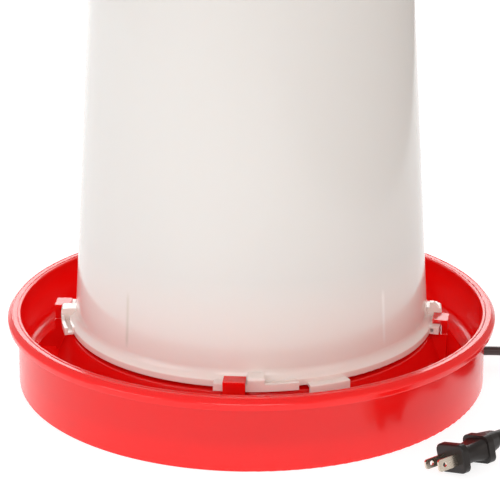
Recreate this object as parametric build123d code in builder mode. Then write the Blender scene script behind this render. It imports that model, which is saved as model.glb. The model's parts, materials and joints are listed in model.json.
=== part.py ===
from build123d import *
import os
from math import cos, degrees, pi, radians, sin, tan

# Heated poultry waterer fount: a round drinker pan with a heater sealed under its middle, and a
# tapered water tank that locks into the pan by four lugs under four hooks.
# The frame stands on the floor: Z is the tank's axis, up. The drinker's front is -Y, and the
# supply cord leaves the pan on the +X side. Millimetres.

os.makedirs("parts", exist_ok=True)

# ---------------------------------------------------------------- pan
RIM_RADIUS = 185.0
RIM_TOP = 55.0
RIM_SKIRT = 47.0            # lower edge of the rolled rim
WALL_FOOT_RADIUS = 178.5
WALL_TOP_RADIUS = 177.4
WALL = 2.4
TROUGH_FLOOR = 14.6
FLANK_FOOT_RADIUS = 148.9   # the heated middle rises from the trough here
PLATFORM_RADIUS = 138.2
PLATFORM_TOP = 40.0
BASIN_RADIUS = 129.0        # shallow basin in the platform, under the tank
BASIN_FLOOR = 37.0
RIDGE_RADII = (177.6, 181.4)
RIDGE_SIZE = 0.45

# ---------------------------------------------------------------- bayonet
# Each hook: its azimuth, how far the tank's lug reaches beyond the hook's middle on the open
# side and on the closed side, the height of the gusset fin outside it and the height of the
# stop beside it. Angles in degrees.
HOOKS = (
    (-94.6, 5.8, 17.4, 34.0, 52.8),
    (-11.3, 5.8, 16.5, 42.5, 55.2),
    (84.0, 5.8, 16.5, 34.0, 52.8),
    (178.5, 5.8, 19.0, 30.0, 53.4),
)
HOOK_HALF_WIDTH = 7.6
HOOK_TOP = 51.8
HOOK_LIP = 3.1
HOOK_INNER_RADIUS = 139.0
HOOK_POST_RADIUS = 146.1
HOOK_OUTER_RADIUS = 150.3
LEDGE_HALF_WIDTH = 9.6
LEDGE_TOP = 41.0
REST_PAD_TOP = 42.5
REST_PAD_HALF_WIDTH = 5.0
FIN_THICKNESS = 2.4
FIN_FOOT_RADIUS = 167.0

# ---------------------------------------------------------------- tank
TANK_TAPER = 0.0726         # radius lost per millimetre of height
TANK_RADIUS_AT_100 = 130.3
TANK_WALL = 2.4
SKIRT_BOTTOM = 42.7
SKIRT_TOP = 47.6            # top of the thick ring round the tank's mouth
FLARE_TOP = 50.8            # the wall flares out into that ring from here
FLARE_RADIUS = 8.0
SKIRT_RADIUS = 138.4
CROWN_Z = 336.0             # where the wall's line would meet the crown's
CROWN_TOP = 341.0
CROWN_FLAT_RADIUS = 20.0
SHOULDER_RADIUS = 30.0
LUG_BOTTOM = 42.9
LUG_TOP = 48.3
LUG_RADIUS = 145.0
STOP_ARC = 4.6
LUG_GAP = 0.35              # degrees between a hook and the stop that meets it
TONGUE_FROM, TONGUE_TO = -74.0, -62.2
TONGUE_BOTTOM = 33.5
TONGUE_TOP = 44.7
RIB_AZIMUTHS = (-133.5, -43.5, 46.5, 136.5)
RIB_BOTTOM, RIB_TOP = 54.0, 93.0
RIB_DEPTH = 5.0
RIB_THICKNESS = 2.0

# ---------------------------------------------------------------- carrying handle
BAIL_RADIUS = 114.0
BAIL_WIRE = 2.0
PIVOT_Z = 336.0
BAIL_REST = 1.5             # degrees that the bail hangs below level at rest
EAR_THICKNESS = 4.0
EAR_X = 107.0               # where the middle of each ear stands
EAR_SIZE = 7.5
EAR_BOTTOM = 320.0
PIN_END = 2.5               # how far the bail's ends reach inside the ears
PIVOT_CLEARANCE = 0.08
GRIP_RADIUS = 7.0
GRIP_HALF_ANGLE = 27.0

# ---------------------------------------------------------------- heater compartment
COMPARTMENT_RADIUS = 126.8
COVER_RADIUS = 131.0
COVER_BOTTOM, COVER_TOP = 1.4, 3.2
COVER_DISH_RADIUS = 98.0
COVER_DISH_RISE = 2.0
GASKET = 0.8
SCREW_CIRCLE = 118.0
SCREW_COUNT = 6
SCREW_RADIUS = 1.5
SCREW_HEAD_RADIUS = 3.8
BOSS_RADIUS = 4.4
BOSS_HOLE_DEPTH = 12.0
PAN_RIB_COUNT = 12
PAN_RIB_THICKNESS = 2.0
PLATE_RADIUS = 112.0
PLATE = 1.5
CABLE_RADIUS = 1.4
CABLE_FIRST_RADIUS = 40.0
CABLE_STEP = 6.0
CABLE_HALF_TURNS = 9
PAD_INNER_RADIUS, PAD_OUTER_RADIUS = 30.0, 107.5
PAD_BOTTOM, PAD_TOP = 18.0, 30.1
THERMOSTAT_RADIUS = 8.5
THERMOSTAT_HEIGHT = 7.5
BRACKET_SCREW_X = 17.0
BRACKET = 1.0
TERMINAL_X = 4.5
FUSE_Y = -22.0
SPLICE_X = 12.0
SPLICE_RADIUS = 2.2
NEUTRAL_SPLICE = (-40.0, 30.0)
LEAD_RADIUS = 1.1
WIRING_Z = 10.5             # the leads run between the cover and the insulation pad

# ---------------------------------------------------------------- supply cord
CORD_DIAMETER = 7.0
CORD_Z = 8.2                # height of the cord where it leaves the pan's wall
CORD_Y = 9.1
CORD_EXIT_X = 180.6
GROMMET_X = 125.2           # where the cord crosses the compartment wall
GROMMET_NECK = 4.6
GROMMET_FLANGE = 6.0
WALL_HOLE_X = 177.0
WALL_HOLE = 4.0
COIL_CENTRE = (254.0, -34.0)
COIL_INNER, COIL_OUTER = 29.0, 50.0
COIL_BOTTOM, COIL_HEIGHT = 0.9, 14.2
PLUG_FACE = (130.4, -182.6, 12.1)
PLUG_HEADING = 36.25        # degrees between the plug's axis and X
PLUG_ROLL = 17.9
PLUG_LENGTH = 62.0          # from the face to the end of the sleeve
FACE_WIDTH, FACE_HEIGHT = 26.0, 19.5
SLEEVE_RISE = 2.2           # the sleeve sits above the middle of the face
BLADE_SPACING = 12.7
BLADE_LENGTH = 16.4
BLADE_THICKNESS = 1.5

basin_underside = BASIN_FLOOR - WALL
cord_radius = CORD_DIAMETER / 2


def tank_radius(z):
    """Outer radius of the tank's straight wall at a height."""
    return TANK_RADIUS_AT_100 - (z - 99.8) * TANK_TAPER


def radial_plane(azimuth):
    """Sketch plane through the axis at an azimuth: x runs outward, y up."""
    outward = Vector(cos(radians(azimuth)), sin(radians(azimuth)), 0)
    return Plane(origin=(0, 0, 0), x_dir=outward, z_dir=outward.cross(Vector(0, 0, 1)))


def rounded(corners):
    """Adds a filled outline through (x, y, radius) corners to the sketch being drawn."""
    outline = Face(Wire.make_polygon([(x, y) for x, y, _ in corners]))
    for x, y, radius in corners:
        if radius:
            corner = outline.vertices().sort_by_distance((x, y))[0]
            outline = outline.fillet_2d(radius, [corner])
    add(outline)


def round_section(path, radius):
    """Round face across the start of a path, to be swept along it."""
    start = path.wire()
    return Face(Wire.make_circle(radius, Plane(start @ 0, z_dir=start % 0)))


def save(builder, name):
    """Labels a finished piece and writes it as its own STEP file."""
    builder.part.label = name
    export_step(builder.part, f"parts/{name}.step")


# ================================================================ drinker pan
with BuildPart() as drinker_pan:
    with BuildSketch(Plane.XZ):
        rounded([
            (WALL_FOOT_RADIUS - WALL, 0, 0.3),
            (WALL_FOOT_RADIUS, 0, 1.2),
            (WALL_TOP_RADIUS, RIM_SKIRT, 2.4),
            (RIM_RADIUS - 0.8, RIM_SKIRT - 0.4, 1.2),
            (RIM_RADIUS, RIM_TOP - 3.6, 2.0),
            (RIM_RADIUS - 3.2, RIM_TOP, 2.2),
            (WALL_TOP_RADIUS - WALL, RIM_TOP - 0.3, 1.4),
            (WALL_FOOT_RADIUS - WALL - 0.6, TROUGH_FLOOR, 8.0),
            (FLANK_FOOT_RADIUS, TROUGH_FLOOR, 6.0),
            (PLATFORM_RADIUS, PLATFORM_TOP, 1.6),
            (BASIN_RADIUS + 1.5, PLATFORM_TOP, 0.8),
            (BASIN_RADIUS, BASIN_FLOOR, 0.8),
            (0, BASIN_FLOOR, 0),
            (0, basin_underside, 0),
            (BASIN_RADIUS - 1.6, basin_underside, 0.8),
            (BASIN_RADIUS, PLATFORM_TOP - WALL, 0.8),
            (PLATFORM_RADIUS - WALL, PLATFORM_TOP - WALL, 1.0),
            (FLANK_FOOT_RADIUS - WALL, TROUGH_FLOOR - WALL, 3.0),
            (WALL_FOOT_RADIUS - WALL, TROUGH_FLOOR - WALL, 1.0),
        ])
        with Locations([(r, RIM_TOP - 0.15) for r in RIDGE_RADII]):
            Circle(RIDGE_SIZE)
    revolve(axis=Axis.Z)

    for azimuth, _, _, fin_top, _ in HOOKS:
        floor_inside = TROUGH_FLOOR - WALL / 2
        with BuildSketch(radial_plane(azimuth)):
            with BuildLine():
                Polyline(
                    (PLATFORM_RADIUS - 1.6, LEDGE_TOP), (HOOK_OUTER_RADIUS, LEDGE_TOP),
                    (HOOK_OUTER_RADIUS, floor_inside), (FLANK_FOOT_RADIUS - 1.4, floor_inside),
                    (PLATFORM_RADIUS - 1.6, PLATFORM_TOP - 1.4), close=True,
                )
            make_face()
        extrude(amount=LEDGE_HALF_WIDTH, both=True)
        with BuildSketch(radial_plane(azimuth)):
            with BuildLine():
                Polyline(
                    (HOOK_POST_RADIUS, LEDGE_TOP), (HOOK_OUTER_RADIUS, LEDGE_TOP),
                    (HOOK_OUTER_RADIUS, HOOK_TOP), (HOOK_INNER_RADIUS, HOOK_TOP),
                    (HOOK_INNER_RADIUS, HOOK_TOP - HOOK_LIP),
                    (HOOK_POST_RADIUS, HOOK_TOP - HOOK_LIP), close=True,
                )
            make_face()
        extrude(amount=HOOK_HALF_WIDTH, both=True)
        with BuildSketch(radial_plane(azimuth)):
            with Locations((LUG_RADIUS - 3.4, (LEDGE_TOP + REST_PAD_TOP) / 2)):
                Rectangle(5.2, REST_PAD_TOP - LEDGE_TOP)
        extrude(amount=REST_PAD_HALF_WIDTH, both=True)
        with BuildSketch(radial_plane(azimuth)):
            with BuildLine():
                top = (HOOK_OUTER_RADIUS, fin_top)
                foot = (FIN_FOOT_RADIUS, floor_inside)
                ThreePointArc(top, ((top[0] + foot[0]) / 2 + 1.6, (top[1] + foot[1]) / 2 + 1.4), foot)
                Line(foot, (HOOK_OUTER_RADIUS - 1, floor_inside))
                Line((HOOK_OUTER_RADIUS - 1, floor_inside), (HOOK_OUTER_RADIUS - 1, fin_top))
                Line((HOOK_OUTER_RADIUS - 1, fin_top), top)
            make_face()
        extrude(amount=FIN_THICKNESS / 2, both=True)

    # compartment wall and screw bosses under the platform
    with BuildSketch(Plane.XY.offset(COVER_TOP + GASKET)):
        Circle(COMPARTMENT_RADIUS)
        Circle(COMPARTMENT_RADIUS - WALL, mode=Mode.SUBTRACT)
    extrude(amount=basin_underside - COVER_TOP - GASKET + 1)
    with BuildSketch(Plane.XY.offset(COVER_TOP)):
        with PolarLocations(SCREW_CIRCLE, SCREW_COUNT, start_angle=30):
            Circle(BOSS_RADIUS)
    extrude(amount=basin_underside - COVER_TOP + 1)
    with BuildSketch(Plane.XY.offset(COVER_TOP)):
        with PolarLocations(SCREW_CIRCLE, SCREW_COUNT, start_angle=30):
            Circle(SCREW_RADIUS)
    extrude(amount=BOSS_HOLE_DEPTH, mode=Mode.SUBTRACT)

    # stiffening ribs under the trough, between the compartment and the outer wall
    rib_length = WALL_FOOT_RADIUS - WALL - COMPARTMENT_RADIUS + 1
    rib_bottom = COVER_TOP + GASKET + 0.3
    with BuildSketch(Plane.XY.offset(rib_bottom)):
        with PolarLocations(COMPARTMENT_RADIUS + rib_length / 2 - 0.5, PAN_RIB_COUNT, start_angle=15):
            Rectangle(rib_length, PAN_RIB_THICKNESS)
    extrude(amount=TROUGH_FLOOR - WALL / 2 - rib_bottom)

    # a slot for the cord in the compartment wall, open at the bottom, and a hole in the outer one
    with BuildSketch(Plane.YZ.offset(GROMMET_X - 6)):
        with Locations((CORD_Y, CORD_Z)):
            Circle(GROMMET_NECK)
        with Locations((CORD_Y, CORD_Z / 2)):
            Rectangle(2 * GROMMET_NECK, CORD_Z)
    extrude(amount=12, mode=Mode.SUBTRACT)
    with BuildSketch(Plane.YZ.offset(WALL_HOLE_X - 8)):
        with Locations((CORD_Y, CORD_Z)):
            Circle(WALL_HOLE)
    extrude(amount=16, mode=Mode.SUBTRACT)
save(drinker_pan, "drinker_pan")

# ================================================================ water tank
with BuildPart() as tank_shell:
    with BuildSketch(Plane.XZ):
        rounded([
            (0, SKIRT_BOTTOM, 0), (SKIRT_RADIUS, SKIRT_BOTTOM, 0.8),
            (SKIRT_RADIUS, SKIRT_TOP, 1.0), (tank_radius(FLARE_TOP), FLARE_TOP, FLARE_RADIUS),
            (tank_radius(CROWN_Z), CROWN_Z, SHOULDER_RADIUS), (CROWN_FLAT_RADIUS, CROWN_TOP, 0),
            (0, CROWN_TOP, 0),
        ])
    revolve(axis=Axis.Z)

    # ears for the carrying handle
    for side in (-1, 1):
        with BuildSketch(Plane.YZ.offset(side * EAR_X - EAR_THICKNESS / 2)):
            with Locations((0, PIVOT_Z)):
                Circle(EAR_SIZE)
            with BuildLine():
                Polyline(
                    (-EAR_SIZE * 2, EAR_BOTTOM), (EAR_SIZE * 2, EAR_BOTTOM),
                    (EAR_SIZE, PIVOT_Z), (-EAR_SIZE, PIVOT_Z), close=True,
                )
            make_face()
        extrude(amount=EAR_THICKNESS)

    # hollow inside, open at the bottom
    with BuildSketch(Plane.XZ):
        rounded([
            (0, SKIRT_BOTTOM - 1, 0), (tank_radius(SKIRT_BOTTOM - 1) - TANK_WALL, SKIRT_BOTTOM - 1, 0),
            (tank_radius(CROWN_Z) - TANK_WALL, CROWN_Z - TANK_WALL, SHOULDER_RADIUS - TANK_WALL),
            (CROWN_FLAT_RADIUS, CROWN_TOP - TANK_WALL, 0), (0, CROWN_TOP - TANK_WALL, 0),
        ])
    revolve(axis=Axis.Z, mode=Mode.SUBTRACT)

    # pivot holes through the ears
    for side in (-1, 1):
        with BuildSketch(Plane.YZ.offset(side * EAR_X - EAR_THICKNESS)):
            with Locations((0, PIVOT_Z)):
                Circle(BAIL_WIRE + PIVOT_CLEARANCE)
        extrude(amount=2 * EAR_THICKNESS, mode=Mode.SUBTRACT)

    # locking lugs: a flange that passes under the hook, a raised stop that meets its side, and
    # an open channel beyond the stop
    for azimuth, reach_open, reach_closed, _, stop_top in HOOKS:
        hook_half_angle = degrees(HOOK_HALF_WIDTH / HOOK_INNER_RADIUS)
        stop_start = azimuth + hook_half_angle + LUG_GAP
        stop_inner = tank_radius(stop_top) - 1
        flange = (azimuth - reach_open, azimuth + reach_closed)
        with BuildSketch(radial_plane(flange[0])):
            with Locations((LUG_RADIUS - 4.4, (LUG_BOTTOM + LUG_TOP) / 2)):
                Rectangle(8.8, LUG_TOP - LUG_BOTTOM)
        revolve(axis=Axis.Z, revolution_arc=flange[1] - flange[0])
        with BuildSketch(radial_plane(stop_start)):
            rounded([
                (stop_inner, LUG_BOTTOM + 1, 0), (LUG_RADIUS, LUG_BOTTOM + 1, 0),
                (LUG_RADIUS, stop_top, 2.2), (stop_inner, stop_top, 0),
            ])
        revolve(axis=Axis.Z, revolution_arc=STOP_ARC)
        channel_start = stop_start + STOP_ARC
        with BuildSketch(radial_plane(channel_start)):
            with Locations((LUG_RADIUS - 4.2, (LUG_BOTTOM + LUG_TOP) / 2 + 1.6)):
                Rectangle(3.6, LUG_TOP - LUG_BOTTOM)
        revolve(axis=Axis.Z, revolution_arc=flange[1] - channel_start + 1, mode=Mode.SUBTRACT)
        with BuildSketch(radial_plane(flange[0] - 1)):
            with Locations((LUG_RADIUS - 5.0, (LUG_BOTTOM + LUG_TOP) / 2)):
                Rectangle(2.2, 3.0)
        revolve(axis=Axis.Z, revolution_arc=3.2, mode=Mode.SUBTRACT)

    # the horn stands on the right-hand stop only
    azimuth, *_, stop_top = HOOKS[1]
    horn_start = azimuth + degrees(HOOK_HALF_WIDTH / HOOK_INNER_RADIUS) + LUG_GAP
    with BuildSketch(radial_plane(horn_start)):
        with BuildLine():
            Polyline(
                (SKIRT_RADIUS - 2.6, stop_top - 3), (LUG_RADIUS - 0.2, stop_top - 3),
                (LUG_RADIUS - 0.6, stop_top - 1.4), (SKIRT_RADIUS + 0.4, stop_top + 4.2),
                (SKIRT_RADIUS - 2.6, stop_top + 4.2), close=True,
            )
        make_face()
    revolve(axis=Axis.Z, revolution_arc=1.6)

    # drip tongue below the skirt, between the front and right-hand lugs
    with BuildSketch(radial_plane(TONGUE_FROM)):
        rounded([
            (LUG_RADIUS - 2.8, TONGUE_BOTTOM, 0.6), (LUG_RADIUS - 0.2, TONGUE_BOTTOM, 0.6),
            (LUG_RADIUS - 0.2, TONGUE_TOP, 1.0), (SKIRT_RADIUS - 2, TONGUE_TOP, 0),
            (SKIRT_RADIUS - 2, SKIRT_BOTTOM, 0), (LUG_RADIUS - 2.8, SKIRT_BOTTOM, 0.6),
        ])
    revolve(axis=Axis.Z, revolution_arc=TONGUE_TO - TONGUE_FROM)

    # upright ribs inside the wall
    for azimuth in RIB_AZIMUTHS:
        with BuildSketch(radial_plane(azimuth)):
            with BuildLine():
                Polyline(
                    (tank_radius(RIB_BOTTOM) - 1, RIB_BOTTOM), (tank_radius(RIB_TOP) - 1, RIB_TOP),
                    (tank_radius(RIB_TOP) - TANK_WALL - 1, RIB_TOP),
                    (tank_radius(RIB_TOP) - TANK_WALL - RIB_DEPTH, RIB_TOP - 8),
                    (tank_radius(RIB_BOTTOM) - TANK_WALL - RIB_DEPTH, RIB_BOTTOM), close=True,
                )
            make_face()
        extrude(amount=RIB_THICKNESS / 2, both=True)
save(tank_shell, "tank_shell")

# ================================================================ carrying handle
bail_tilt = Plane(origin=(0, 0, PIVOT_Z), x_dir=(1, 0, 0),
                  z_dir=(0, -sin(radians(BAIL_REST)), cos(radians(BAIL_REST))))
pin_inner = EAR_X - EAR_THICKNESS / 2 - PIN_END
with BuildPart() as bail_wire:
    with BuildLine(bail_tilt) as bail_path:
        CenterArc((0, 0), BAIL_RADIUS, 186, 168)
        for side in (-1, 1):
            end = (side * BAIL_RADIUS * cos(radians(6)), -BAIL_RADIUS * sin(radians(6)))
            FilletPolyline(end, (side * BAIL_RADIUS, 0), (side * pin_inner, 0), radius=[4.0])
    sweep(round_section(bail_path, BAIL_WIRE), path=bail_path.wire())
save(bail_wire, "bail_wire")

with BuildPart() as handle_grip:
    with BuildLine(bail_tilt) as grip_path:
        CenterArc((0, 0), BAIL_RADIUS, 270 - GRIP_HALF_ANGLE, 2 * GRIP_HALF_ANGLE)
    with BuildSketch(Plane(grip_path.wire() @ 0, z_dir=grip_path.wire() % 0)):
        Circle(GRIP_RADIUS)
        Circle(BAIL_WIRE, mode=Mode.SUBTRACT)
    sweep()
save(handle_grip, "handle_grip")

# ================================================================ compartment cover
with BuildPart() as bottom_cover:
    with BuildSketch(Plane.XZ):
        rounded([
            (0, COVER_BOTTOM + COVER_DISH_RISE, 0),
            (COVER_DISH_RADIUS - 3, COVER_BOTTOM + COVER_DISH_RISE, 0.8),
            (COVER_DISH_RADIUS, COVER_BOTTOM, 0.8), (COVER_RADIUS, COVER_BOTTOM, 0.6),
            (COVER_RADIUS, COVER_TOP, 0), (COVER_DISH_RADIUS + 1, COVER_TOP, 0.8),
            (COVER_DISH_RADIUS - 2, COVER_TOP + COVER_DISH_RISE, 0.8),
            (0, COVER_TOP + COVER_DISH_RISE, 0),
        ])
    revolve(axis=Axis.Z)
    with BuildSketch(Plane.XY):
        with PolarLocations(SCREW_CIRCLE, SCREW_COUNT, start_angle=30):
            Circle(SCREW_RADIUS + 0.3)
    extrude(amount=10, mode=Mode.SUBTRACT)
save(bottom_cover, "bottom_cover")

with BuildPart() as cover_gasket:
    with BuildSketch(Plane.XY.offset(COVER_TOP)):
        Circle(COMPARTMENT_RADIUS + 0.5)
        Circle(COMPARTMENT_RADIUS - WALL - 0.8, mode=Mode.SUBTRACT)
    extrude(amount=GASKET)
save(cover_gasket, "cover_gasket")

with BuildPart() as cover_screws:
    with BuildSketch(Plane.XZ):
        rounded([
            (0, 0.3, 0), (SCREW_HEAD_RADIUS - 1.4, 0.3, 0.6), (SCREW_HEAD_RADIUS, COVER_BOTTOM, 0),
            (SCREW_RADIUS, COVER_BOTTOM, 0), (SCREW_RADIUS, 12.6, 0), (0, 14.4, 0),
        ])
    revolve(axis=Axis.Z)
    with BuildSketch(Plane.XY.offset(0.3)):
        Rectangle(4.2, 0.8)
        Rectangle(0.8, 4.2)
    extrude(amount=0.7, mode=Mode.SUBTRACT)
one_screw = cover_screws.part
with BuildPart() as cover_screws:
    with PolarLocations(SCREW_CIRCLE, SCREW_COUNT, start_angle=30):
        add(one_screw)
save(cover_screws, "cover_screws")

# ================================================================ heater
plate_bottom = basin_underside - PLATE
cable_z = plate_bottom - CABLE_RADIUS
cable_outer = CABLE_FIRST_RADIUS + CABLE_STEP * (CABLE_HALF_TURNS - 1)
with BuildPart() as heat_spreader:
    with BuildSketch(Plane.XY.offset(plate_bottom)):
        Circle(PLATE_RADIUS)
        with Locations((-BRACKET_SCREW_X, 0), (BRACKET_SCREW_X, 0)):
            Circle(SCREW_RADIUS, mode=Mode.SUBTRACT)
    extrude(amount=PLATE)
save(heat_spreader, "heat_spreader")

with BuildPart() as insulation_pad:
    with BuildSketch(Plane.XY.offset(PAD_BOTTOM)):
        Circle(PAD_OUTER_RADIUS)
        Circle(PAD_INNER_RADIUS, mode=Mode.SUBTRACT)
    extrude(amount=PAD_TOP - PAD_BOTTOM)
    chamfer(insulation_pad.edges().group_by(Axis.Z)[0], 1.5)
save(insulation_pad, "insulation_pad")

# ================================================================ thermostat and thermal fuse
bracket_top = plate_bottom - 1.4
with BuildPart() as thermostat:
    with BuildSketch(Plane.XY.offset(bracket_top - THERMOSTAT_HEIGHT)):
        Circle(THERMOSTAT_RADIUS)
    extrude(amount=THERMOSTAT_HEIGHT)
    with BuildSketch(Plane.XY.offset(bracket_top)):
        Circle(THERMOSTAT_RADIUS + 1.2)
    extrude(amount=1.4)
    with BuildSketch(Plane.XY.offset(bracket_top - 14)):
        with Locations((-4.5, 0), (4.5, 0)):
            Rectangle(0.8, 6.3)
    extrude(amount=7)
save(thermostat, "thermostat")

with BuildPart() as thermostat_bracket:
    with BuildSketch(Plane.XY.offset(bracket_top - BRACKET)):
        RectangleRounded(44, 10, 3)
        Circle(THERMOSTAT_RADIUS + 3.5)
        Circle(THERMOSTAT_RADIUS + 0.1, mode=Mode.SUBTRACT)
        with Locations((-BRACKET_SCREW_X, 0), (BRACKET_SCREW_X, 0)):
            Circle(SCREW_RADIUS, mode=Mode.SUBTRACT)
    extrude(amount=BRACKET)
    with BuildSketch(Plane.XY.offset(bracket_top)):
        with Locations((-BRACKET_SCREW_X, 0), (BRACKET_SCREW_X, 0)):
            Circle(3.4)
            Circle(SCREW_RADIUS, mode=Mode.SUBTRACT)
    extrude(amount=1.4)
save(thermostat_bracket, "thermostat_bracket")

with BuildPart() as bracket_screws:
    for x in (-BRACKET_SCREW_X, BRACKET_SCREW_X):
        with BuildSketch(Plane.XY.offset(bracket_top - 2.8)):
            with Locations((x, 0)):
                Circle(2.8)
                Rectangle(3.6, 0.7, mode=Mode.SUBTRACT)
        extrude(amount=0.8)
        with BuildSketch(Plane.XY.offset(bracket_top - 2.0)):
            with Locations((x, 0)):
                Circle(2.8)
        extrude(amount=1.0)
        with BuildSketch(Plane.XY.offset(bracket_top - 1.0)):
            with Locations((x, 0)):
                Circle(SCREW_RADIUS)
        extrude(amount=basin_underside - bracket_top + 1)
save(bracket_screws, "bracket_screws")

fuse_z = plate_bottom - 2.0
splice_top, splice_bottom = 24.0, 14.0
with BuildPart() as thermal_fuse:
    with BuildSketch(Plane.YZ.offset(-5.5)):
        with Locations((FUSE_Y, fuse_z)):
            Circle(2.0)
    extrude(amount=11)
    with BuildLine() as fuse_wire:
        FilletPolyline(
            (-SPLICE_X, FUSE_Y, splice_top), (-SPLICE_X, FUSE_Y, fuse_z),
            (SPLICE_X, FUSE_Y, fuse_z), (SPLICE_X, FUSE_Y, splice_top), radius=2.5,
        )
    sweep(round_section(fuse_wire, 0.5), path=fuse_wire.wire())
save(thermal_fuse, "thermal_fuse")

# ================================================================ heating cable and inside wiring
jacket_end = 112.0
lead_split = 1.7
terminal_z = bracket_top - 14

with BuildPart() as heating_cable:
    with BuildLine() as cable_path:
        FilletPolyline(
            (SPLICE_X, FUSE_Y, splice_bottom), (SPLICE_X, FUSE_Y, WIRING_Z - 1),
            (26, -9, WIRING_Z - 1), (26, -9, cable_z), (CABLE_FIRST_RADIUS, -9, cable_z),
            (CABLE_FIRST_RADIUS, 0, cable_z), radius=[3, 4, 4, 4],
        )
        for turn in range(CABLE_HALF_TURNS):
            CenterArc(
                (CABLE_STEP * (turn % 2), 0, cable_z), CABLE_FIRST_RADIUS + CABLE_STEP * turn,
                180 * (turn % 2), 180,
            )
        FilletPolyline(
            (-cable_outer, 0, cable_z), (-cable_outer, -16, cable_z), (-114.5, -16, cable_z),
            (-114.5, -16, WIRING_Z), (-90, NEUTRAL_SPLICE[1], WIRING_Z),
            (NEUTRAL_SPLICE[0] - 5, NEUTRAL_SPLICE[1], WIRING_Z), radius=[6, 6, 6, 12],
        )
    sweep(round_section(cable_path, CABLE_RADIUS), path=cable_path.wire())
save(heating_cable, "heating_cable")

with BuildPart() as live_lead:
    with BuildLine() as live_path:
        FilletPolyline(
            (jacket_end, CORD_Y - lead_split, CORD_Z), (92, CORD_Y - lead_split, CORD_Z),
            (60, -2, WIRING_Z), (TERMINAL_X, 0, WIRING_Z), (TERMINAL_X, 0, terminal_z),
            radius=[8, 8, 4],
        )
    sweep(round_section(live_path, LEAD_RADIUS), path=live_path.wire())
save(live_lead, "live_lead")

with BuildPart() as neutral_lead:
    with BuildLine() as neutral_path:
        FilletPolyline(
            (jacket_end, CORD_Y + lead_split, CORD_Z), (92, CORD_Y + lead_split, CORD_Z),
            (66, NEUTRAL_SPLICE[1], WIRING_Z), (NEUTRAL_SPLICE[0] + 5, NEUTRAL_SPLICE[1], WIRING_Z),
            radius=[8, 12],
        )
    sweep(round_section(neutral_path, LEAD_RADIUS), path=neutral_path.wire())
save(neutral_lead, "neutral_lead")

with BuildPart() as jumper_lead:
    with BuildLine() as jumper_path:
        FilletPolyline(
            (-TERMINAL_X, 0, terminal_z), (-TERMINAL_X, 0, WIRING_Z), (-SPLICE_X, FUSE_Y, WIRING_Z),
            (-SPLICE_X, FUSE_Y, splice_bottom), radius=[3.5, 2.5],
        )
    sweep(round_section(jumper_path, LEAD_RADIUS), path=jumper_path.wire())
save(jumper_lead, "jumper_lead")

# three crimped splices: two stand beside the fuse and one lies under the insulation pad
with BuildPart() as crimp_splices:
    with BuildSketch(Plane.XY.offset(splice_bottom)):
        with Locations((-SPLICE_X, FUSE_Y), (SPLICE_X, FUSE_Y)):
            Circle(SPLICE_RADIUS)
    extrude(amount=splice_top - splice_bottom)
    with BuildSketch(Plane.YZ.offset(NEUTRAL_SPLICE[0] - 5)):
        with Locations((NEUTRAL_SPLICE[1], WIRING_Z)):
            Circle(SPLICE_RADIUS)
    extrude(amount=10)
    fillet(crimp_splices.edges().filter_by(GeomType.CIRCLE), 0.5)
save(crimp_splices, "crimp_splices")

# ================================================================ cord entry
wall_outside = WALL_HOLE_X + 1.3
wall_inside = WALL_HOLE_X - 1.9
tail_start = wall_inside - 26
with BuildPart() as strain_relief:
    with BuildSketch(Plane.XZ.offset(-CORD_Y)):
        with BuildLine():
            Polyline(
                (CORD_EXIT_X, CORD_Z + cord_radius), (CORD_EXIT_X, CORD_Z + 4.7),
                (CORD_EXIT_X - 0.6, CORD_Z + 5.0), (wall_outside, CORD_Z + 5.0),
                (wall_outside, CORD_Z + WALL_HOLE - 0.05), (wall_inside, CORD_Z + WALL_HOLE - 0.05),
                (tail_start, CORD_Z + cord_radius + 0.3), (tail_start, CORD_Z + cord_radius), close=True,
            )
        make_face()
    revolve(axis=Axis((0, CORD_Y, CORD_Z), (1, 0, 0)))
    with BuildSketch(Plane.YZ.offset(wall_inside - 3)):
        with Locations((CORD_Y, CORD_Z)):
            RectangleRounded(12, 2 * WALL_HOLE - 0.1, 2)
            Circle(cord_radius, mode=Mode.SUBTRACT)
    extrude(amount=3)
save(strain_relief, "strain_relief")

with BuildPart() as cord_grommet:
    for start, length, size in (
        (-3.9, 2.0, GROMMET_FLANGE), (-1.9, 3.7, GROMMET_NECK), (1.8, 2.0, GROMMET_FLANGE),
    ):
        with BuildSketch(Plane.YZ.offset(GROMMET_X + start)):
            with Locations((CORD_Y, CORD_Z)):
                Circle(size)
            with Locations((CORD_Y, (CORD_Z + COVER_TOP + GASKET) / 2)):
                Rectangle(2 * size, CORD_Z - COVER_TOP - GASKET)
            with Locations((CORD_Y, COVER_TOP + GASKET - 5)):
                Rectangle(4 * size, 10, mode=Mode.SUBTRACT)
            with Locations((CORD_Y, CORD_Z)):
                Circle(cord_radius, mode=Mode.SUBTRACT)
        extrude(amount=length)
save(cord_grommet, "cord_grommet")

with BuildPart() as cord_tail:
    with BuildSketch(Plane.YZ.offset(jacket_end)):
        with Locations((CORD_Y, CORD_Z)):
            Circle(cord_radius)
    extrude(amount=CORD_EXIT_X - jacket_end)
save(cord_tail, "cord_tail")


# ================================================================ free cord
def corner_radii(points):
    """Largest arcs for a route: 0.45 of the shorter run over the tangent of half the turn."""
    radii = []
    for before, at, after in zip(points, points[1:], points[2:]):
        run_in, run_out = Vector(*at) - Vector(*before), Vector(*after) - Vector(*at)
        turn = radians(run_in.get_angle(run_out))
        radii.append(0.45 * min(run_in.length, run_out.length) / tan(turn / 2))
    return radii


coil_low = COIL_BOTTOM + cord_radius + 0.1
coil_high = coil_low + CORD_DIAMETER
coil_mid = (COIL_INNER + COIL_OUTER) / 2
coil_last = COIL_OUTER - cord_radius

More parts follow.
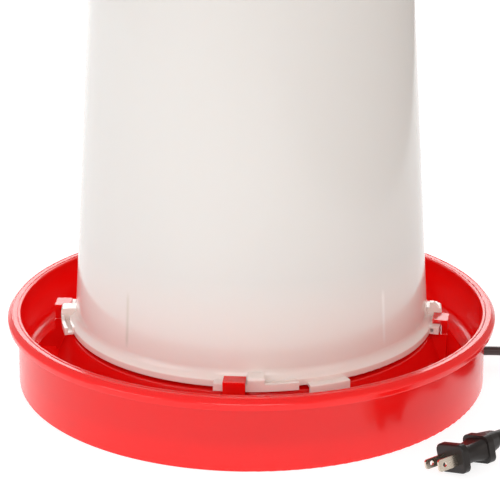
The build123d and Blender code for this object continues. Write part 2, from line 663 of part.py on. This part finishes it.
# from the pan's wall down to the floor, and into the coil's outer turn, on its far side
CORD_OUT = (
    (CORD_EXIT_X, CORD_Y, CORD_Z), (197.0, CORD_Y, CORD_Z), (214.0, 9.6, 6.4),
    (232.0, 11.6, coil_low + 0.3), (COIL_CENTRE[0] - 4.0, COIL_CENTRE[1] + coil_last + 0.4, coil_low),
)
heading = radians(PLUG_HEADING)
plug_axis = Vector(cos(heading), sin(heading), 0)
roll = radians(PLUG_ROLL)
blade_out = -plug_axis
level = Vector(sin(heading), -cos(heading), 0)
across = level * cos(roll) + Vector(0, 0, 1) * sin(roll)
up = Vector(0, 0, 1) * cos(roll) - level * sin(roll)
plug_tail = Vector(*PLUG_FACE) + plug_axis * PLUG_LENGTH + up * SLEEVE_RISE
# from the coil's outer upper turn, on its near side, down to the floor and on to the plug
CORD_BACK = (
    (COIL_CENTRE[0], COIL_CENTRE[1] - coil_last, coil_high), (238.0, -82.8, 8.6),
    (222.0, -92.5, 4.6), (209.5, -108.0, 5.2), (200.0, -124.5, 9.2),
    tuple(plug_tail + plug_axis * 14.5 - Vector(0, 0, 1.4)), tuple(plug_tail),
)

for name, route in (("power_cord", CORD_OUT), ("plug_lead", CORD_BACK)):
    print(name, "radii", [round(r, 1) for r in corner_radii(route)])

with BuildPart() as power_cord:
    with BuildLine() as out_path:
        FilletPolyline(*CORD_OUT, radius=corner_radii(CORD_OUT))
    sweep(round_section(out_path, cord_radius), path=out_path.wire())
save(power_cord, "power_cord")

with BuildPart() as plug_lead:
    with BuildLine() as back_path:
        FilletPolyline(*CORD_BACK, radius=corner_radii(CORD_BACK))
    sweep(round_section(back_path, cord_radius), path=back_path.wire())
save(plug_lead, "plug_lead")

section = pi * cord_radius**2
for name, tube, path in (("power_cord", power_cord, out_path), ("plug_lead", plug_lead, back_path)):
    print(name, "volume ratio", round(tube.part.volume / (section * path.wire().length), 4))

with BuildPart() as cord_coil:
    with BuildSketch(Plane.XY.offset(COIL_BOTTOM)):
        with Locations(COIL_CENTRE):
            Circle(COIL_OUTER)
            Circle(COIL_INNER, mode=Mode.SUBTRACT)
    extrude(amount=COIL_HEIGHT)
    fillet(cord_coil.edges().filter_by(GeomType.CIRCLE), 3.0)
save(cord_coil, "cord_coil")

with BuildPart() as cord_tie:
    with BuildSketch(Plane.XZ.offset(-COIL_CENTRE[1])):
        with Locations((COIL_CENTRE[0] + coil_mid, COIL_BOTTOM + COIL_HEIGHT / 2)):
            RectangleRounded(COIL_OUTER - COIL_INNER + 2.0, COIL_HEIGHT + 1.6, 3.7)
            RectangleRounded(COIL_OUTER - COIL_INNER + 0.5, COIL_HEIGHT + 0.2, 2.9, mode=Mode.SUBTRACT)
    extrude(amount=2.5, both=True)
save(cord_tie, "cord_tie")

# ================================================================ plug

def plug_plane(back, rise=0.0):
    """Sketch plane across the plug, back millimetres behind its face: x along the row of blades
    towards the wide one, y up, and the normal the way the blades point."""
    return Plane(origin=Vector(*PLUG_FACE) - blade_out * back + up * rise, x_dir=across, z_dir=blade_out)


with BuildPart() as plug_body:
    with BuildSketch(plug_plane(5)):
        RectangleRounded(FACE_WIDTH, FACE_HEIGHT, 5)
    extrude(amount=5)
    face_edges = plug_body.faces().sort_by(Axis(PLUG_FACE, tuple(blade_out)))[-1].edges()
    fillet(face_edges, 1.2)
    for back, width, height in ((4.9, 19, 15.5), (12, 17, 12.8), (24.1, 21.5, 15)):
        with BuildSketch(plug_plane(back)):
            RectangleRounded(width, height, 5)
    loft()
    with BuildSketch(plug_plane(29)):
        RectangleRounded(24.5, 19, 5)
    extrude(amount=5)
    for back, width, height, rise in ((28.9, 18, 15.5, 1.5), (40, 12.5, 12.5, SLEEVE_RISE)):
        with BuildSketch(plug_plane(back, rise)):
            RectangleRounded(width, height, 5)
    loft()
save(plug_body, "plug_body")

for name, side, height in (("plug_blade_wide", 1, 7.9), ("plug_blade_narrow", -1, 6.35)):
    blade_plane = Plane(origin=Vector(*PLUG_FACE) + across * side * BLADE_SPACING / 2,
                        x_dir=blade_out, z_dir=across)
    with BuildPart() as blade:
        with BuildSketch(blade_plane):
            rounded([
                (0, -height / 2, 0), (BLADE_LENGTH, -height / 2, 1.6), (BLADE_LENGTH, height / 2, 1.6),
                (0, height / 2, 0),
            ])
            with Locations((11.4, 0)):
                Circle(1.6, mode=Mode.SUBTRACT)
        extrude(amount=BLADE_THICKNESS / 2, both=True)
    save(blade, name)

with BuildPart() as plug_sleeve:
    with BuildSketch(plug_plane(40, SLEEVE_RISE)):
        Circle(5.2)
    with BuildSketch(plug_plane(PLUG_LENGTH, SLEEVE_RISE)):
        Circle(4.4)
    loft()
save(plug_sleeve, "plug_sleeve")
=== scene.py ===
import json
from math import cos, pi, radians, sin

import bmesh
import bpy
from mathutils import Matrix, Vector


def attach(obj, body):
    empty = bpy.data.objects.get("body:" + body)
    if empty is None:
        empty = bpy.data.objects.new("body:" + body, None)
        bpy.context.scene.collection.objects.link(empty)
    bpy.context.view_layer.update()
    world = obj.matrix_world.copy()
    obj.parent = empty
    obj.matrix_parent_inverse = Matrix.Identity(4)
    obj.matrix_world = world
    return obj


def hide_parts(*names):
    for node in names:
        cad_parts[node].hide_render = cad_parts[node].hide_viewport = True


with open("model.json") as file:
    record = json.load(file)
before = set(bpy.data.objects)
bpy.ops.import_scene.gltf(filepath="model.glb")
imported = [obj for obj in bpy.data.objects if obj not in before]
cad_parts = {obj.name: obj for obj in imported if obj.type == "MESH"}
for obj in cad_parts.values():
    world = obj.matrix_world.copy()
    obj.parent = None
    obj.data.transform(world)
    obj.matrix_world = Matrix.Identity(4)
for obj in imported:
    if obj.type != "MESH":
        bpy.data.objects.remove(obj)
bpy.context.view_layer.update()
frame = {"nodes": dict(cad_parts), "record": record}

# The looks of a heated poultry waterer fount. Metres, in the CAD model's own frame: Z up from
# the floor along the tank's axis, the front towards -Y, and the cord on the +X side.

nodes = frame["nodes"]
scene = bpy.context.scene


# ------------------------------------------------------------------ camera
CAMERA_AT = (-0.0011, -1.028, 0.4449)
CAMERA_DOWN = 18.81         # degrees below level
LENS = 103.1                # millimetres, on a sensor this wide
SENSOR_WIDTH = 36
FARTHEST_SEEN = 30

camera = bpy.data.objects.new("camera", bpy.data.cameras.new("camera"))
scene.collection.objects.link(camera)
camera.location = CAMERA_AT
camera.rotation_euler = (radians(90 - CAMERA_DOWN), 0, 0)
camera.data.lens = LENS
camera.data.sensor_width = SENSOR_WIDTH
camera.data.clip_end = FARTHEST_SEEN
scene.camera = camera


# ------------------------------------------------------------------ cord
CORD_DIAMETER = 0.007
CORD_EXIT = (0.1806, 0.0091, 0.0082)
COIL_CENTRE = (0.254, -0.034)
COIL_RADII = (0.0465, 0.0395, 0.0325)
COIL_LOW = 0.0045           # height of the lower turns' line
COIL_TURNS = 5.5
TURN_POINTS = 20
STEP_POINTS = 4             # each turn moves over to the next one in its last points

CORD_OUT = (                # from the pan to the coil
    CORD_EXIT, (0.197, 0.0091, 0.0082), (0.214, 0.0096, 0.0064), (0.232, 0.0116, 0.0048),
)
CORD_BACK = (               # from the coil to the plug
    (0.238, -0.0828, 0.0086), (0.222, -0.0925, 0.0046), (0.2095, -0.1080, 0.0052),
    (0.200, -0.1245, 0.0092), (0.1917, -0.1368, 0.0128), (0.1800, -0.1454, 0.0142),
)


def coil_points():
    """Control points of the coil: three turns inward on the floor, then two and a half outward
    on top of them. The points stand outside the line so that the line keeps its radius."""
    low, high = COIL_LOW, COIL_LOW + CORD_DIAMETER
    turns = [(r, low) for r in COIL_RADII] + [(r, high) for r in reversed(COIL_RADII)]
    outward = 1 / cos(pi / TURN_POINTS)
    points = []
    for index in range(int(COIL_TURNS * TURN_POINTS) + 1):
        turn, place = divmod(index, TURN_POINTS)
        radius, height = turns[turn]
        step = max(0, place - (TURN_POINTS - STEP_POINTS)) / STEP_POINTS
        if step and turn + 1 < len(turns):
            next_radius, next_height = turns[turn + 1]
            radius += (next_radius - radius) * step
            height += (next_height - height) * step
        angle = pi / 2 - 2 * pi * index / TURN_POINTS
        points.append((
            COIL_CENTRE[0] + radius * outward * cos(angle),
            COIL_CENTRE[1] + radius * outward * sin(angle), height,
        ))
    return points


def nurbs_cord(name, points, diameter):
    """A round cord along a smooth NURBS line with these control points."""
    curve = bpy.data.curves.new(name, "CURVE")
    curve.dimensions = "3D"
    spline = curve.splines.new("NURBS")
    spline.points.add(len(points) - 1)
    for point, place in zip(spline.points, points):
        point.co = (*place, 1)
        point.radius = diameter / 2
    spline.order_u = 3
    spline.use_endpoint_u = True
    curve.bevel_depth = 1.0     # times each point's radius
    curve.bevel_resolution = 6
    curve.resolution_u = 8
    curve.use_fill_caps = True
    made = bpy.data.objects.new(name, curve)
    scene.collection.objects.link(made)
    return made


cord = nurbs_cord("supply_cord", [*CORD_OUT, *coil_points(), *CORD_BACK], CORD_DIAMETER)
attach(cord, "base")
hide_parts("power_cord", "cord_coil", "plug_lead")


# ------------------------------------------------------------------ materials
MIX_FACTOR, MIX_FIRST, MIX_SECOND = 0, 6, 7     # a colour Mix node's inputs
MIX_RESULT = 2                                  # and its output


def new_material(name):
    """An empty node material with its Principled shader and object coordinates."""
    made = bpy.data.materials.new(name)
    made.use_nodes = True
    tree = made.node_tree
    shader = tree.nodes["Principled BSDF"]
    place = tree.nodes.new("ShaderNodeTexCoord")
    return made, tree, shader, place.outputs["Object"]


def noise(tree, place, scale, detail=3.0, stretch=(1, 1, 1), roughness=0.5):
    """Noise value of a size: scale is in cells per metre."""
    mapping = tree.nodes.new("ShaderNodeMapping")
    mapping.inputs["Scale"].default_value = stretch
    tree.links.new(place, mapping.inputs["Vector"])
    made = tree.nodes.new("ShaderNodeTexNoise")
    made.inputs["Scale"].default_value = scale
    made.inputs["Detail"].default_value = detail
    made.inputs["Roughness"].default_value = roughness
    tree.links.new(mapping.outputs["Vector"], made.inputs["Vector"])
    return made.outputs["Fac"]


def spread(tree, value, low, high, from_low=0.3, from_high=0.7):
    """Maps a value to a range and stops at its ends. The usual limits are a noise value's."""
    made = tree.nodes.new("ShaderNodeMapRange")
    made.inputs["From Min"].default_value = from_low
    made.inputs["From Max"].default_value = from_high
    made.inputs["To Min"].default_value = low
    made.inputs["To Max"].default_value = high
    tree.links.new(value, made.inputs["Value"])
    return made.outputs["Result"]


def tint(tree, value, first, second):
    """Colour between two, by a value from 0 to 1. Each is a colour or a node's output."""
    made = tree.nodes.new("ShaderNodeMix")
    made.data_type = "RGBA"
    for socket, colour in ((made.inputs[MIX_FIRST], first), (made.inputs[MIX_SECOND], second)):
        if isinstance(colour, tuple):
            socket.default_value = (*colour, 1)
        else:
            tree.links.new(colour, socket)
    tree.links.new(value, made.inputs[MIX_FACTOR])
    return made.outputs[MIX_RESULT]


def calculate(tree, operation, first, second):
    """A node's output with an operation done on it, with a number or another node's output."""
    made = tree.nodes.new("ShaderNodeMath")
    made.operation = operation
    tree.links.new(first, made.inputs[0])
    if isinstance(second, (int, float)):
        made.inputs[1].default_value = second
    else:
        tree.links.new(second, made.inputs[1])
    return made.outputs["Value"]


def bump(tree, height, distance, strength=1.0, below=None):
    """Surface relief of a height in metres."""
    made = tree.nodes.new("ShaderNodeBump")
    made.inputs["Distance"].default_value = distance
    made.inputs["Strength"].default_value = strength
    tree.links.new(height, made.inputs["Height"])
    if below:
        tree.links.new(below, made.inputs["Normal"])
    return made.outputs["Normal"]


def moulded(name, colour, worn, roughness, grain=700, relief=0.00004, specular=0.5):
    """Moulded or extruded surface: its colour drifts a little, with fine grain and dull patches."""
    made, tree, shader, place = new_material(name)
    drift = spread(tree, noise(tree, place, 14), 0, 1)
    tree.links.new(tint(tree, drift, colour, worn), shader.inputs["Base Color"])
    dull = spread(tree, noise(tree, place, 60, detail=6), roughness * 0.88, roughness * 1.15)
    tree.links.new(dull, shader.inputs["Roughness"])
    tree.links.new(bump(tree, noise(tree, place, grain), relief), shader.inputs["Normal"])
    shader.inputs["Specular IOR Level"].default_value = specular
    return made


def red_pan():
    """Red polypropylene: satin, with long faint rubbed streaks and a fine moulded grain."""
    made, tree, shader, place = new_material("pan_plastic")
    drift = spread(tree, noise(tree, place, 9), 0, 1)
    red = tint(tree, drift, (0.85, 0.008, 0.007), (0.81, 0.007, 0.006))
    tree.links.new(red, shader.inputs["Base Color"])
    rubbed = noise(tree, place, 40, detail=8, stretch=(1, 1, 5), roughness=0.65)
    tree.links.new(spread(tree, rubbed, 0.13, 0.21), shader.inputs["Roughness"])
    grain = bump(tree, noise(tree, place, 900), 0.00003)
    wave = bump(tree, noise(tree, place, 18), 0.0003, strength=0.3, below=grain)
    tree.links.new(wave, shader.inputs["Normal"])
    shader.inputs["Subsurface Weight"].default_value = 1.0
    shader.inputs["Subsurface Radius"].default_value = (1.0, 0.04, 0.04)
    shader.inputs["Subsurface Scale"].default_value = 0.012
    return made


# the painted red bounce light is full below the first height and gone above the second
PAINTED_BOUNCE_BELOW, PLAIN_ABOVE = 0.048, 0.115          # heights on the tank's wall
LINE_HALF_WIDTH = 0.9                           # degrees round the tank
LINE_BOTTOM, LINE_TOP = 0.056, 0.098
LINE_FADE = 0.006                               # at each end
PAINTED_RIB_LINES = (              # angle round the axis and colour of two upright lines over inner ribs: painted shade at -131 degrees, a painted light strip at -45.5
    (-131, (0.70, 0.64, 0.57)), (-45.5, (0.90, 0.86, 0.83)),
)


def height_of(tree, place, low, high):
    """0 at one height and 1 at another, in metres, and the same past them."""
    axes = tree.nodes.new("ShaderNodeSeparateXYZ")
    tree.links.new(place, axes.inputs["Vector"])
    return spread(tree, axes.outputs["Z"], 0, 1, low, high)


def upright_line(tree, place, angle):
    """1 on an upright line at an angle in degrees round the axis, 0 beside and past it."""
    ring = tree.nodes.new("ShaderNodeTexGradient")
    ring.gradient_type = "RADIAL"
    tree.links.new(place, ring.inputs["Vector"])
    away = calculate(tree, "SUBTRACT", ring.outputs["Fac"], angle / 360 + 0.5)
    line = spread(tree, calculate(tree, "ABSOLUTE", away, 0), 1, 0, 0, LINE_HALF_WIDTH / 360)
    above = height_of(tree, place, LINE_BOTTOM, LINE_BOTTOM + LINE_FADE)
    below = height_of(tree, place, LINE_TOP, LINE_TOP - LINE_FADE)
    return calculate(tree, "MULTIPLY", calculate(tree, "MULTIPLY", line, above), below)


def white_tank():
    """Translucent white polyethylene: glossy, with painted red bounce light from the pan near its
    foot, and painted shade and light of inner ribs in two upright lines.
    """
    made, tree, shader, place = new_material("tank_plastic")
    drift = spread(tree, noise(tree, place, 7, stretch=(1, 1, 0.3)), 0, 1)
    plain = tint(tree, drift, (0.735, 0.71, 0.685), (0.72, 0.695, 0.67))
    # painted light: the wall turns lighter and pinker towards its foot, red bounce light from the
    # pan painted into its colour
    height = height_of(tree, place, PAINTED_BOUNCE_BELOW, PLAIN_ABOVE)
    wall = tint(tree, height, (0.90, 0.78, 0.73), plain)
    # painted shade and light: two upright lines where inner ribs stand behind the wall
    for angle, colour in PAINTED_RIB_LINES:
        wall = tint(tree, upright_line(tree, place, angle), wall, colour)
    tree.links.new(wall, shader.inputs["Base Color"])
    dull = noise(tree, place, 35, detail=7, stretch=(1, 1, 0.25), roughness=0.6)
    tree.links.new(spread(tree, dull, 0.10, 0.15), shader.inputs["Roughness"])
    grain = bump(tree, noise(tree, place, 500), 0.00003)
    wave = bump(tree, noise(tree, place, 11), 0.0006, strength=0.3, below=grain)
    tree.links.new(wave, shader.inputs["Normal"])
    shader.inputs["Subsurface Weight"].default_value = 0.45
    shader.inputs["Subsurface Radius"].default_value = (1.0, 0.8, 0.7)
    shader.inputs["Subsurface Scale"].default_value = 0.003
    return made


def felt():
    """Glass-fibre felt: matt, with tangled fibres; its tone varies with them and is darker in the
    hollows, which is painted shade.
    """
    made, tree, shader, place = new_material("pad_fibre")
    fibres = noise(tree, place, 420, detail=8, roughness=0.75)
    # the colour follows the relief's noise: fibre tone, and painted shade in the hollows
    straw_and_hollow_shade = tint(tree, spread(tree, fibres, 0, 1), (0.62, 0.55, 0.34), (0.86, 0.80, 0.58))
    tree.links.new(straw_and_hollow_shade, shader.inputs["Base Color"])
    tree.links.new(bump(tree, fibres, 0.0008), shader.inputs["Normal"])
    shader.inputs["Roughness"].default_value = 0.95
    shader.inputs["Sheen Weight"].default_value = 0.3
    return made


def brushed(name, colour, worn, roughness, stretch):
    """Metal with fine drawn lines along one direction."""
    made, tree, shader, place = new_material(name)
    drift = spread(tree, noise(tree, place, 120, detail=4), 0, 1)
    tree.links.new(tint(tree, drift, colour, worn), shader.inputs["Base Color"])
    lines = noise(tree, place, 900, detail=4, stretch=stretch)
    dull = spread(tree, lines, roughness * 0.8, roughness * 1.25)
    tree.links.new(dull, shader.inputs["Roughness"])
    tree.links.new(bump(tree, lines, 0.00002), shader.inputs["Normal"])
    shader.inputs["Metallic"].default_value = 1.0
    return made


# colour, worn colour, roughness, and what else differs from the usual
MOULDED = {
    "grip_plastic": ((0.028, 0.028, 0.030), (0.05, 0.05, 0.05), 0.5, {}),
    "cover_plastic": ((0.030, 0.030, 0.032), (0.05, 0.048, 0.046), 0.55, {}),
    "gasket_rubber": (
        (0.02, 0.02, 0.02), (0.05, 0.05, 0.05), 0.85, {"grain": 1600, "relief": 0.0003},
    ),
    "cable_silicone": ((0.62, 0.58, 0.50), (0.54, 0.50, 0.43), 0.45, {}),
    "thermostat_phenolic": ((0.03, 0.025, 0.022), (0.06, 0.05, 0.045), 0.5, {"grain": 1500}),
    "lead_black": ((0.02, 0.02, 0.02), (0.035, 0.035, 0.035), 0.4, {}),
    "lead_white": ((0.78, 0.77, 0.74), (0.70, 0.69, 0.65), 0.4, {}),
    "entry_rubber": ((0.028, 0.022, 0.022), (0.045, 0.036, 0.036), 0.5, {}),
    "cord_jacket": ((0.040, 0.022, 0.022), (0.060, 0.036, 0.036), 0.38, {"grain": 1400}),
    "plug_vinyl": (
        (0.010, 0.008, 0.007), (0.018, 0.014, 0.013), 0.36,
        {"grain": 1400, "relief": 0.00005, "specular": 0.35},
    ),
    "tie_plastic": ((0.02, 0.02, 0.02), (0.04, 0.04, 0.04), 0.5, {}),
}
# colour, worn colour, roughness, and how the drawn lines are stretched
BRUSHED = {
    "bail_steel": ((0.62, 0.63, 0.64), (0.48, 0.49, 0.50), 0.28, (1, 1, 6)),
    "screw_steel": ((0.60, 0.60, 0.58), (0.45, 0.45, 0.42), 0.32, (1, 1, 1)),
    "spreader_aluminium": ((0.80, 0.80, 0.81), (0.70, 0.70, 0.72), 0.35, (0.05, 1, 1)),
    "fuse_case": ((0.74, 0.73, 0.70), (0.62, 0.60, 0.56), 0.3, (0.1, 1, 1)),
    "splice_brass": ((0.72, 0.66, 0.50), (0.58, 0.52, 0.38), 0.3, (1, 1, 0.1)),
    "blade_brass": ((0.80, 0.72, 0.62), (0.66, 0.58, 0.48), 0.24, (0.2, 0.2, 1)),
}

materials = {"pan_plastic": red_pan(), "tank_plastic": white_tank(), "pad_fibre": felt()}
for name, (colour, worn, roughness, others) in MOULDED.items():
    materials[name] = moulded(name, colour, worn, roughness, **others)
for name, (colour, worn, roughness, stretch) in BRUSHED.items():
    materials[name] = brushed(name, colour, worn, roughness, stretch)

slot_of = {part["node"]: part["material_slot"] for part in frame["record"]["subparts"]}
for name, node in nodes.items():
    node.data.materials.clear()
    node.data.materials.append(materials[slot_of[name]])
cord.data.materials.append(materials["cord_jacket"])


# ------------------------------------------------------------------ floor and light
TABLE_LEFT, TABLE_RIGHT = -4.0, 0.855
TABLE_FRONT, TABLE_BACK = -4.0, 5.0
TABLE_COLOUR = (0.40, 0.40, 0.40)
TABLE_GLOW = 0.80
WALLS_LEFT, WALLS_RIGHT = (0.50, 0.50, 0.50), (0.40, 0.37, 0.35)
BELOW_TABLE = (0.40, 0.37, 0.35)
ROOM_STRENGTH = 1.25
LEFT_TO_RIGHT = (-0.4, 0.6)     # the directions between which the walls' colour turns
DOWN_TO_UP = (-0.05, 0.03)

floor_mesh = bpy.data.meshes.new("floor")
shape = bmesh.new()
shape.faces.new([
    shape.verts.new((x, y, 0)) for x, y in (
        (TABLE_LEFT, TABLE_FRONT), (TABLE_RIGHT, TABLE_FRONT), (TABLE_RIGHT, TABLE_BACK),
        (TABLE_LEFT, TABLE_BACK),
    )
])
shape.to_mesh(floor_mesh)
shape.free()
floor = bpy.data.objects.new("floor", floor_mesh)
scene.collection.objects.link(floor)
floor_look, _, floor_shader, _ = new_material("floor")
floor_shader.inputs["Base Color"].default_value = (*TABLE_COLOUR, 1)
floor_shader.inputs["Roughness"].default_value = 0.8
floor_shader.inputs["Emission Color"].default_value = (1, 1, 1, 1)
floor_shader.inputs["Emission Strength"].default_value = TABLE_GLOW
floor_mesh.materials.append(floor_look)

# the room: pale, and warmer and dimmer on the right and below the table's edge
world = bpy.data.worlds.new("studio")
world.use_nodes = True
world_tree = world.node_tree
direction = world_tree.nodes.new("ShaderNodeTexCoord").outputs["Generated"]
axes = world_tree.nodes.new("ShaderNodeSeparateXYZ")
world_tree.links.new(direction, axes.inputs["Vector"])
sideways = spread(world_tree, axes.outputs["X"], 0, 1, *LEFT_TO_RIGHT)
upward = spread(world_tree, axes.outputs["Z"], 0, 1, *DOWN_TO_UP)
walls = tint(world_tree, sideways, WALLS_LEFT, WALLS_RIGHT)
background = world_tree.nodes["Background"]
world_tree.links.new(tint(world_tree, upward, BELOW_TABLE, walls), background.inputs["Color"])
background.inputs["Strength"].default_value = ROOM_STRENGTH
scene.world = world


def soft_light(name, at, towards, size, power, colour=(1, 1, 1)):
    """A rectangular soft light aimed at a point."""
    light = bpy.data.lights.new(name, "AREA")
    light.shape = "RECTANGLE"
    light.size, light.size_y = size
    light.energy = power
    light.color = colour
    made = bpy.data.objects.new(name, light)
    made.location = at
    made.rotation_euler = (Vector(towards) - Vector(at)).to_track_quat("-Z", "Y").to_euler()
    scene.collection.objects.link(made)


soft_light("key", (-1.7, -1.2, 0.9), (0, 0, 0.12), (1.2, 1.0), 7)
soft_light("front", (-0.1, -1.9, 1.15), (0, 0, 0.1), (1.2, 0.8), 11)
soft_light("back", (0, 2.4, 0.95), (0, 0, 0.05), (3.0, 0.9), 25)
soft_light("fill", (1.3, -1.3, 0.9), (0, 0, 0.15), (0.9, 1.2), 3, (1.0, 0.86, 0.76))
scene.view_settings.view_transform = "Standard"

bpy.context.view_layer.update()
